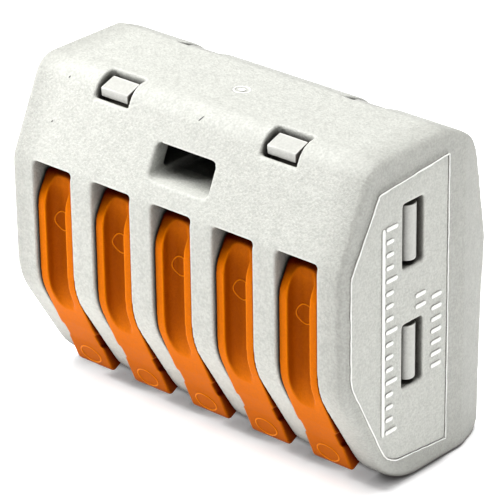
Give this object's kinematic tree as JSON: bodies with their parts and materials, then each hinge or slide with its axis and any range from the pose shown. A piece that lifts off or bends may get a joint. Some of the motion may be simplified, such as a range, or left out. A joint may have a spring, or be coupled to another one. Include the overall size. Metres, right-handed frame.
{
  "type": "lever wire connector",
  "caption": "Compact grey splicing connector with a row of orange levers that open cage clamps for solid or stranded wires.",
  "frame": {"origin": "Middle of the footprint on the wire-entry end, which the connector stands on.", "axes": "+X along the row of levers, -Y out of the lever face, +Z from the wire entries to the closed end."},
  "size_m": [0.0264, 0.0144, 0.0212],
  "materials": {
    "grey_plastic": "light warm grey polyamide, fine spark-eroded grain",
    "grey_insert": "slightly darker grey polyamide, fine grain",
    "orange_plastic": "orange polyamide, half gloss",
    "spring_steel": "bright stainless spring strip",
    "tinned_copper": "tin-plated copper, soft grey metal"
  },
  "bodies": {
    "shell": {"housing": "grey_plastic", "insert": "grey_insert", "current_bar": "tinned_copper", "clamp_spring_1": "spring_steel", "clamp_spring_2": "spring_steel", "clamp_spring_3": "spring_steel", "clamp_spring_4": "spring_steel", "clamp_spring_5": "spring_steel"},
    "lever_1": {"lever_1": "orange_plastic"},
    "lever_2": {"lever_2": "orange_plastic"},
    "lever_3": {"lever_3": "orange_plastic"},
    "lever_4": {"lever_4": "orange_plastic"},
    "lever_5": {"lever_5": "orange_plastic"}
  },
  "joints": [
    {"name": "lever_1_hinge", "type": "hinge", "parent": "shell", "child": "lever_1", "pos_m": [-0.0096, -0.00332, 0.0113], "axis": [-1, 0, 0], "range_deg": [0, 90], "deforming": ["clamp_spring_1"]},
    {"name": "lever_2_hinge", "type": "hinge", "parent": "shell", "child": "lever_2", "pos_m": [-0.0048, -0.00332, 0.0113], "axis": [-1, 0, 0], "range_deg": [0, 90], "deforming": ["clamp_spring_2"]},
    {"name": "lever_3_hinge", "type": "hinge", "parent": "shell", "child": "lever_3", "pos_m": [0, -0.00332, 0.0113], "axis": [-1, 0, 0], "range_deg": [0, 90], "deforming": ["clamp_spring_3"]},
    {"name": "lever_4_hinge", "type": "hinge", "parent": "shell", "child": "lever_4", "pos_m": [0.0048, -0.00332, 0.0113], "axis": [-1, 0, 0], "range_deg": [0, 90], "deforming": ["clamp_spring_4"]},
    {"name": "lever_5_hinge", "type": "hinge", "parent": "shell", "child": "lever_5", "pos_m": [0.0096, -0.00332, 0.0113], "axis": [-1, 0, 0], "range_deg": [0, 90], "deforming": ["clamp_spring_5"]}
  ]
}
